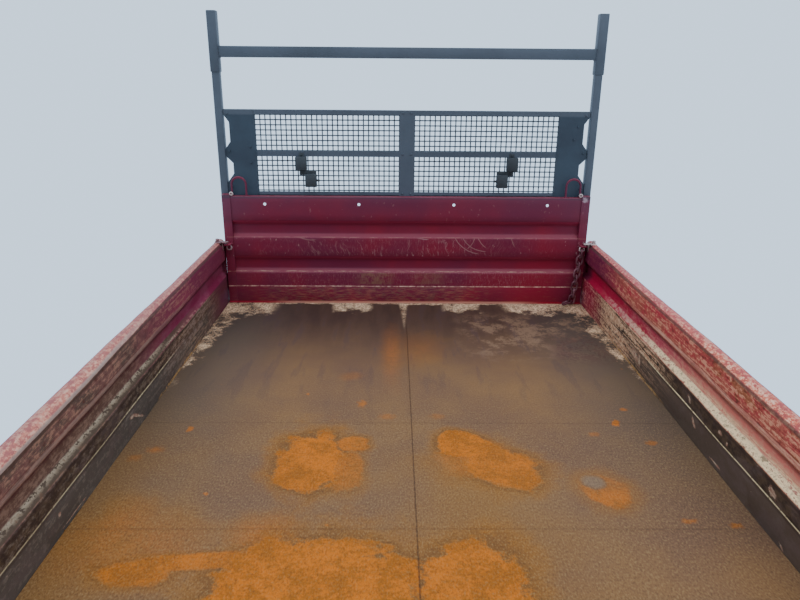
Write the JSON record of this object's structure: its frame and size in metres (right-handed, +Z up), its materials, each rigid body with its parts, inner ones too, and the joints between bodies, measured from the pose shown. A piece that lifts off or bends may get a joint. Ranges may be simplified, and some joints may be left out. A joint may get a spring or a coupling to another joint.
{
  "type": "tipping truck body",
  "caption": "Raised dropside tipping body of a light dump truck with headboard, mesh guard, ladder rack, underbody telescopic ram and bolt-on subframe.",
  "frame": {"origin": "centre of the footprint on the plane under the subframe rails", "axes": "+Y forwards to the cab, +X to the right seen from the tail, +Z up"},
  "size_m": [2.084, 3.4098, 3.5103],
  "materials": {
    "subframe_steel": "satin black chassis paint, dusty",
    "landing_rubber": "matte",
    "bed_steel": "red paint, worn and dusty",
    "red_paint": "faded dark red paint, scuffed",
    "side_paint": "faded red paint, worn to pink, cream and bare steel",
    "floor_rust": "worn steel plate, brown with orange rust",
    "rack_paint": "dark blue-grey paint, satin",
    "mesh_wire": "dark blue-grey paint",
    "lamp_housing": "black, matte",
    "latch_zinc": "dull zinc, rusty",
    "ram_paint": "satin black",
    "ram_chrome": "oily ground steel"
  },
  "bodies": {
    "subframe": {"subframe_rail_left": "subframe_steel", "subframe_rail_right": "subframe_steel", "subframe_crossmembers": "subframe_steel", "hinge_bracket_left": "subframe_steel", "hinge_bracket_right": "subframe_steel", "landing_pads": "landing_rubber", "chassis_cleats": "subframe_steel", "ram_cradle": "subframe_steel"},
    "bed": {"floor_plate": "floor_rust", "cross_bearers": "bed_steel", "rear_beam": "bed_steel", "ram_beam": "bed_steel", "headboard": "red_paint", "rack_goalpost": "rack_paint", "guard_frame": "rack_paint", "guard_mesh_cross_wires": "mesh_wire", "guard_mesh_uprights": "mesh_wire", "rope_loops": "red_paint", "corner_chain": "latch_zinc", "tailboard_claws": "bed_steel", "bearer_left": "bed_steel", "bearer_right": "bed_steel", "rave_left": "bed_steel", "rave_right": "bed_steel", "headboard_post_left": "red_paint", "headboard_post_right": "red_paint", "rear_post_left": "red_paint", "rear_post_right": "red_paint", "rack_upright_left": "rack_paint", "rack_upright_right": "rack_paint", "work_lamp_left": "lamp_housing", "work_lamp_right": "lamp_housing", "side_hinges_left": "bed_steel", "side_hinges_right": "bed_steel"},
    "left_side": {"dropside_left": "side_paint", "side_latches_left": "latch_zinc"},
    "right_side": {"dropside_right": "side_paint", "side_latches_right": "latch_zinc"},
    "tailboard": {"tailboard": "side_paint"},
    "ram_barrel": {"ram_barrel": "ram_paint"},
    "ram_stage_1": {"ram_stage_1": "ram_chrome"},
    "ram_stage_2": {"ram_stage_2": "ram_chrome"},
    "ram_stage_3": {"ram_stage_3": "ram_chrome"},
    "ram_rod": {"ram_rod": "ram_chrome"}
  },
  "joints": [
    {"name": "bed_tip", "type": "hinge", "parent": "subframe", "child": "bed", "pos_m": [0, -1.19509, 0.165], "axis": [1, 0, 0], "range_deg": [-45, 0]},
    {"name": "left_side_drop", "type": "hinge", "parent": "bed", "child": "left_side", "pos_m": [-1.025, -0.30625, 1.25607], "axis": [0, -0.7071, -0.7071], "range_deg": [0, 175]},
    {"name": "right_side_drop", "type": "hinge", "parent": "bed", "child": "right_side", "pos_m": [1.025, -0.30625, 1.25607], "axis": [0, 0.7071, 0.7071], "range_deg": [0, 175]},
    {"name": "tailboard_swing", "type": "hinge", "parent": "bed", "child": "tailboard", "pos_m": [0, -1.68087, 0.40188], "axis": [-1, 0, 0], "range_deg": [0, 100]},
    {"name": "ram_tilt", "type": "hinge", "parent": "subframe", "child": "ram_barrel", "pos_m": [0, -0.44509, 0.05], "axis": [1, 0, 0], "range_deg": [-23.11, 0]},
    {"name": "ram_slide_1", "type": "slide", "parent": "ram_barrel", "child": "ram_stage_1", "axis": [0, -0.3845, 0.9231], "range_m": [-0.13955, 0]},
    {"name": "ram_slide_2", "type": "slide", "parent": "ram_stage_1", "child": "ram_stage_2", "axis": [0, -0.3845, 0.9231], "range_m": [-0.13955, 0]},
    {"name": "ram_slide_3", "type": "slide", "parent": "ram_stage_2", "child": "ram_stage_3", "axis": [0, -0.3845, 0.9231], "range_m": [-0.13955, 0]},
    {"name": "ram_slide_4", "type": "slide", "parent": "ram_stage_3", "child": "ram_rod", "axis": [0, -0.3845, 0.9231], "range_m": [-0.13955, 0]}
  ],
  "couplings": [
    {"joint": "ram_tilt", "follows": "bed_tip", "ratio": 0.50247},
    {"joint": "ram_slide_1", "follows": "bed_tip", "m_per_rad": 0.17705},
    {"joint": "ram_slide_2", "follows": "bed_tip", "m_per_rad": 0.17705},
    {"joint": "ram_slide_3", "follows": "bed_tip", "m_per_rad": 0.17705},
    {"joint": "ram_slide_4", "follows": "bed_tip", "m_per_rad": 0.17705}
  ]
}
